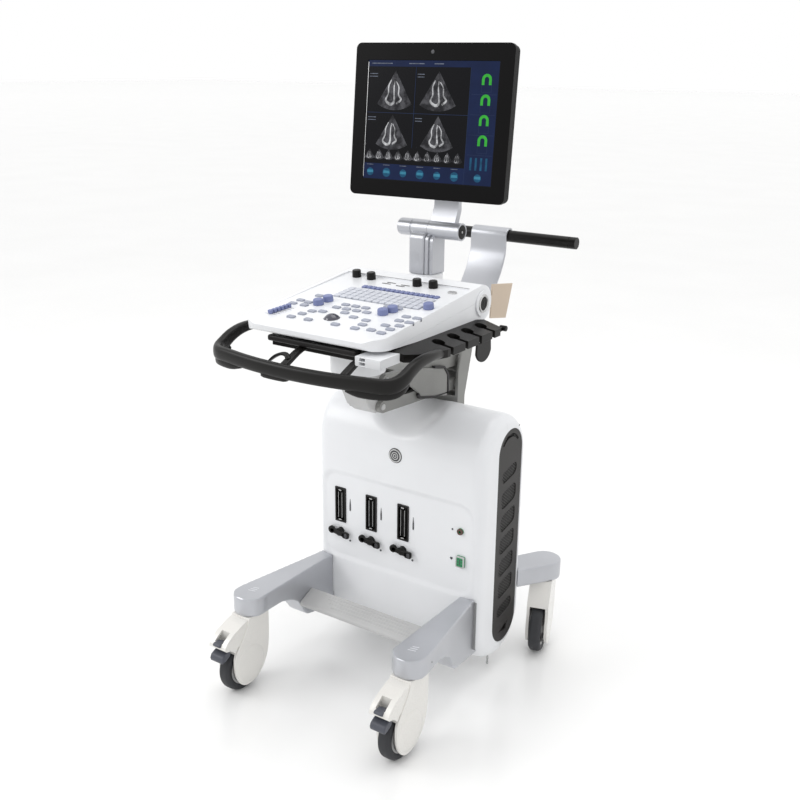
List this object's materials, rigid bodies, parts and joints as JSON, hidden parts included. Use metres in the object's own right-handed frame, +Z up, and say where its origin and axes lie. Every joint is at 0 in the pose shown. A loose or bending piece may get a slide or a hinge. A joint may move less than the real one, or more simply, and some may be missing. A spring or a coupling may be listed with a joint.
{
  "type": "ultrasound machine",
  "caption": "Cart-mounted ultrasound machine: wheeled cabinet with probe sockets, parallel lift arm, tilted control console with keyboard and trackball, bow handle and folding monitor.",
  "frame": {"origin": "centre of the bounding box footprint on the floor", "axes": "+Z up, -Y towards the operator (front of the machine), +X to the right seen from the front"},
  "size_m": [0.6442, 0.866, 1.5082],
  "materials": {
    "cover": "satin",
    "silver": "satin",
    "cast": "satin",
    "hood": "gloss",
    "light_grey": "matte",
    "dark_grey": "matte",
    "black": "satin",
    "tyre": "matte",
    "steel": "satin",
    "inner_steel": "matte",
    "board": "satin",
    "keys_blue": "satin",
    "keys_grey": "satin",
    "bezel": "satin",
    "screen": "gloss",
    "ecg": "satin",
    "ball": "gloss",
    "beige": "matte"
  },
  "bodies": {
    "chassis": {"base_frame": "inner_steel", "front_cover": "cover", "rear_cover": "cover", "vent_panels": "dark_grey", "front_legs": "silver", "rear_legs": "silver", "footrest": "light_grey", "probe_sockets": "black", "side_sockets": "ecg", "power_supply": "steel", "board_cage": "board", "cooling_fans": "black", "earth_chain": "steel", "lift_yoke": "cast", "handle_bracket": "silver", "rear_handle": "black"},
    "console": {"console_top": "cover", "console_base": "cover", "front_handle": "black", "probe_tray": "black", "rear_flap": "beige"},
    "lock_lever_1_body": {"lock_lever_1": "dark_grey"},
    "lock_lever_2_body": {"lock_lever_2": "dark_grey"},
    "lock_lever_3_body": {"lock_lever_3": "dark_grey"},
    "caster_fork_fl_body": {"caster_fork_fl": "hood"},
    "caster_fork_fr_body": {"caster_fork_fr": "hood"},
    "caster_fork_rl_body": {"caster_fork_rl": "hood"},
    "caster_fork_rr_body": {"caster_fork_rr": "hood"},
    "caster_wheel_fl_body": {"caster_wheel_fl": "tyre"},
    "caster_wheel_fr_body": {"caster_wheel_fr": "tyre"},
    "caster_wheel_rl_body": {"caster_wheel_rl": "tyre"},
    "caster_wheel_rr_body": {"caster_wheel_rr": "tyre"},
    "brake_pedal_left_body": {"brake_pedal_left": "dark_grey"},
    "brake_pedal_right_body": {"brake_pedal_right": "dark_grey"},
    "lower_link_body": {"lower_link": "cast"},
    "upper_link_body": {"upper_link": "cast"},
    "lift_head_body": {"lift_head": "cast"},
    "gas_spring_tube_body": {"gas_spring_tube": "black"},
    "gas_spring_rod_body": {"gas_spring_rod": "steel"},
    "release_lever_body": {"release_lever": "steel"},
    "trackball_body": {"trackball": "ball"},
    "function_keys_body": {"function_keys": "keys_blue"},
    "letter_keys_body": {"letter_keys": "keys_grey"},
    "control_keys_body": {"control_keys": "keys_grey"},
    "slide_pots_body": {"slide_pots": "keys_blue"},
    "power_button_body": {"power_button": "steel"},
    "menu_knob_1_body": {"menu_knob_1": "black"},
    "menu_knob_2_body": {"menu_knob_2": "black"},
    "menu_knob_3_body": {"menu_knob_3": "black"},
    "menu_knob_4_body": {"menu_knob_4": "black"},
    "gain_knob_1_body": {"gain_knob_1": "keys_blue"},
    "gain_knob_2_body": {"gain_knob_2": "keys_blue"},
    "gain_knob_3_body": {"gain_knob_3": "keys_blue"},
    "gain_knob_4_body": {"gain_knob_4": "keys_blue"},
    "gain_knob_5_body": {"gain_knob_5": "keys_blue"},
    "monitor_arm_body": {"monitor_arm": "silver"},
    "monitor_neck_body": {"monitor_neck": "silver"},
    "monitor": {"monitor_bezel": "bezel", "monitor_back": "bezel", "lcd_panel": "screen"}
  },
  "joints": [
    {"name": "caster_swivel_fl", "type": "hinge", "parent": "chassis", "child": "caster_fork_fl_body", "pos_m": [-0.234, -0.303, 0.208], "axis": [0, 0, 1], "continuous": true},
    {"name": "wheel_spin_fl", "type": "hinge", "parent": "caster_fork_fl_body", "child": "caster_wheel_fl_body", "pos_m": [-0.234, -0.349, 0.0625], "axis": [1, 0, 0], "continuous": true},
    {"name": "caster_swivel_fr", "type": "hinge", "parent": "chassis", "child": "caster_fork_fr_body", "pos_m": [0.234, -0.303, 0.208], "axis": [0, 0, 1], "continuous": true},
    {"name": "wheel_spin_fr", "type": "hinge", "parent": "caster_fork_fr_body", "child": "caster_wheel_fr_body", "pos_m": [0.234, -0.349, 0.0625], "axis": [1, 0, 0], "continuous": true},
    {"name": "caster_swivel_rl", "type": "hinge", "parent": "chassis", "child": "caster_fork_rl_body", "pos_m": [-0.268, 0.274, 0.208], "axis": [0, 0, 1], "continuous": true},
    {"name": "wheel_spin_rl", "type": "hinge", "parent": "caster_fork_rl_body", "child": "caster_wheel_rl_body", "pos_m": [-0.28107, 0.22989, 0.0625], "axis": [0.9588, -0.284, 0], "continuous": true},
    {"name": "caster_swivel_rr", "type": "hinge", "parent": "chassis", "child": "caster_fork_rr_body", "pos_m": [0.268, 0.274, 0.208], "axis": [0, 0, 1], "continuous": true},
    {"name": "wheel_spin_rr", "type": "hinge", "parent": "caster_fork_rr_body", "child": "caster_wheel_rr_body", "pos_m": [0.28107, 0.22989, 0.0625], "axis": [0.9588, 0.284, 0], "continuous": true},
    {"name": "brake_pedal_left_rock", "type": "hinge", "parent": "caster_fork_fl_body", "child": "brake_pedal_left_body", "pos_m": [-0.234, -0.403, 0.122], "axis": [1, 0, 0], "range_deg": [-3, 6]},
    {"name": "brake_pedal_right_rock", "type": "hinge", "parent": "caster_fork_fr_body", "child": "brake_pedal_right_body", "pos_m": [0.234, -0.403, 0.122], "axis": [1, 0, 0], "range_deg": [-3, 6]},
    {"name": "lock_lever_1_turn", "type": "hinge", "parent": "chassis", "child": "lock_lever_1_body", "pos_m": [-0.171, -0.028, 0.311], "axis": [0, 1, 0], "range_deg": [0, 90]},
    {"name": "lock_lever_2_turn", "type": "hinge", "parent": "chassis", "child": "lock_lever_2_body", "pos_m": [-0.0745, -0.028, 0.311], "axis": [0, 1, 0], "range_deg": [0, 90]},
    {"name": "lock_lever_3_turn", "type": "hinge", "parent": "chassis", "child": "lock_lever_3_body", "pos_m": [0.022, -0.028, 0.311], "axis": [0, 1, 0], "range_deg": [0, 90]},
    {"name": "lift", "type": "hinge", "parent": "chassis", "child": "lower_link_body", "pos_m": [0, 0.177, 0.7], "axis": [-1, 0, 0], "range_deg": [-11, 20]},
    {"name": "lift_upper", "type": "hinge", "parent": "chassis", "child": "upper_link_body", "pos_m": [0, 0.19, 0.76], "axis": [-1, 0, 0], "range_deg": [-11, 20]},
    {"name": "lift_level", "type": "hinge", "parent": "lower_link_body", "child": "lift_head_body", "pos_m": [0, -0.14222, 0.72232], "axis": [-1, 0, 0], "range_deg": [-20, 11]},
    {"name": "gas_spring_swing", "type": "hinge", "parent": "chassis", "child": "gas_spring_tube_body", "pos_m": [0, 0.184, 0.729], "axis": [-1, 0, 0], "range_deg": [-10.8, 19.6]},
    {"name": "gas_spring_stroke", "type": "slide", "parent": "gas_spring_tube_body", "child": "gas_spring_rod_body", "axis": [0, -0.999, -0.045], "range_m": [-0.0101, 0.0056]},
    {"name": "console_swivel", "type": "hinge", "parent": "lift_head_body", "child": "console", "pos_m": [0, -0.178, 0.84], "axis": [0, 0, 1], "range_deg": [-30, 30]},
    {"name": "release_lever_pull", "type": "hinge", "parent": "console", "child": "release_lever_body", "pos_m": [-0.047, -0.389, 0.886], "axis": [1, 0, 0], "range_deg": [-14, 0], "stiffness_Nm_per_rad": 0.4},
    {"name": "trackball_roll", "type": "hinge", "parent": "console", "child": "trackball_body", "pos_m": [0.005, -0.27615, 0.93988], "axis": [1, 0, 0], "continuous": true},
    {"name": "function_keys_press", "type": "slide", "parent": "console", "child": "function_keys_body", "axis": [0, 0.1045, -0.9945], "range_m": [0, 0.002], "stiffness_N_per_m": 400},
    {"name": "letter_keys_press", "type": "slide", "parent": "console", "child": "letter_keys_body", "axis": [0, 0.1045, -0.9945], "range_m": [0, 0.002], "stiffness_N_per_m": 400},
    {"name": "control_keys_press", "type": "slide", "parent": "console", "child": "control_keys_body", "axis": [0, 0.1045, -0.9945], "range_m": [0, 0.002], "stiffness_N_per_m": 400},
    {"name": "power_button_press", "type": "slide", "parent": "console", "child": "power_button_body", "axis": [0, 0.1045, -0.9945], "range_m": [0, 0.002], "stiffness_N_per_m": 400},
    {"name": "slide_pots_move", "type": "slide", "parent": "console", "child": "slide_pots_body", "axis": [1, 0, 0], "range_m": [-0.011, 0.011]},
    {"name": "menu_knob_1_turn", "type": "hinge", "parent": "console", "child": "menu_knob_1_body", "pos_m": [-0.131, -0.00469, 0.97846], "axis": [0, -0.1045, 0.9945], "continuous": true},
    {"name": "menu_knob_2_turn", "type": "hinge", "parent": "console", "child": "menu_knob_2_body", "pos_m": [-0.087, -0.00668, 0.97825], "axis": [0, -0.1045, 0.9945], "continuous": true},
    {"name": "menu_knob_3_turn", "type": "hinge", "parent": "console", "child": "menu_knob_3_body", "pos_m": [0.042, -0.00668, 0.97825], "axis": [0, -0.1045, 0.9945], "continuous": true},
    {"name": "menu_knob_4_turn", "type": "hinge", "parent": "console", "child": "menu_knob_4_body", "pos_m": [0.084, -0.0037, 0.97857], "axis": [0, -0.1045, 0.9945], "continuous": true},
    {"name": "gain_knob_1_turn", "type": "hinge", "parent": "console", "child": "gain_knob_1_body", "pos_m": [-0.08, -0.21553, 0.9563], "axis": [0, -0.1045, 0.9945], "continuous": true},
    {"name": "gain_knob_2_turn", "type": "hinge", "parent": "console", "child": "gain_knob_2_body", "pos_m": [-0.076, -0.1857, 0.95944], "axis": [0, -0.1045, 0.9945], "continuous": true},
    {"name": "gain_knob_3_turn", "type": "hinge", "parent": "console", "child": "gain_knob_3_body", "pos_m": [0.09, -0.21056, 0.95682], "axis": [0, -0.1045, 0.9945], "continuous": true},
    {"name": "gain_knob_4_turn", "type": "hinge", "parent": "console", "child": "gain_knob_4_body", "pos_m": [0.098, -0.1857, 0.95944], "axis": [0, -0.1045, 0.9945], "continuous": true},
    {"name": "gain_knob_5_turn", "type": "hinge", "parent": "console", "child": "gain_knob_5_body", "pos_m": [0.157, -0.13597, 0.96466], "axis": [0, -0.1045, 0.9945], "continuous": true},
    {"name": "monitor_swivel", "type": "hinge", "parent": "console", "child": "monitor_arm_body", "pos_m": [-0.032, 0.147, 0.99], "axis": [0, 0, 1], "range_deg": [-45, 45]},
    {"name": "monitor_fold", "type": "hinge", "parent": "monitor_arm_body", "child": "monitor_neck_body", "pos_m": [0, 0.147, 1.084], "axis": [1, 0, 0], "range_deg": [-15, 85]},
    {"name": "monitor_tilt", "type": "hinge", "parent": "monitor_neck_body", "child": "monitor", "pos_m": [-0.01079, 0.14505, 1.23564], "axis": [0.9973, 0.0732, 0], "range_deg": [-20, 10]}
  ],
  "couplings": [
    {"joint": "lift_upper", "follows": "lift", "ratio": 1},
    {"joint": "lift_level", "follows": "lift", "ratio": -1},
    {"joint": "gas_spring_swing", "follows": "lift", "ratio": 0.9758},
    {"joint": "gas_spring_stroke", "follows": "lift", "m_per_rad": -0.02859}
  ]
}
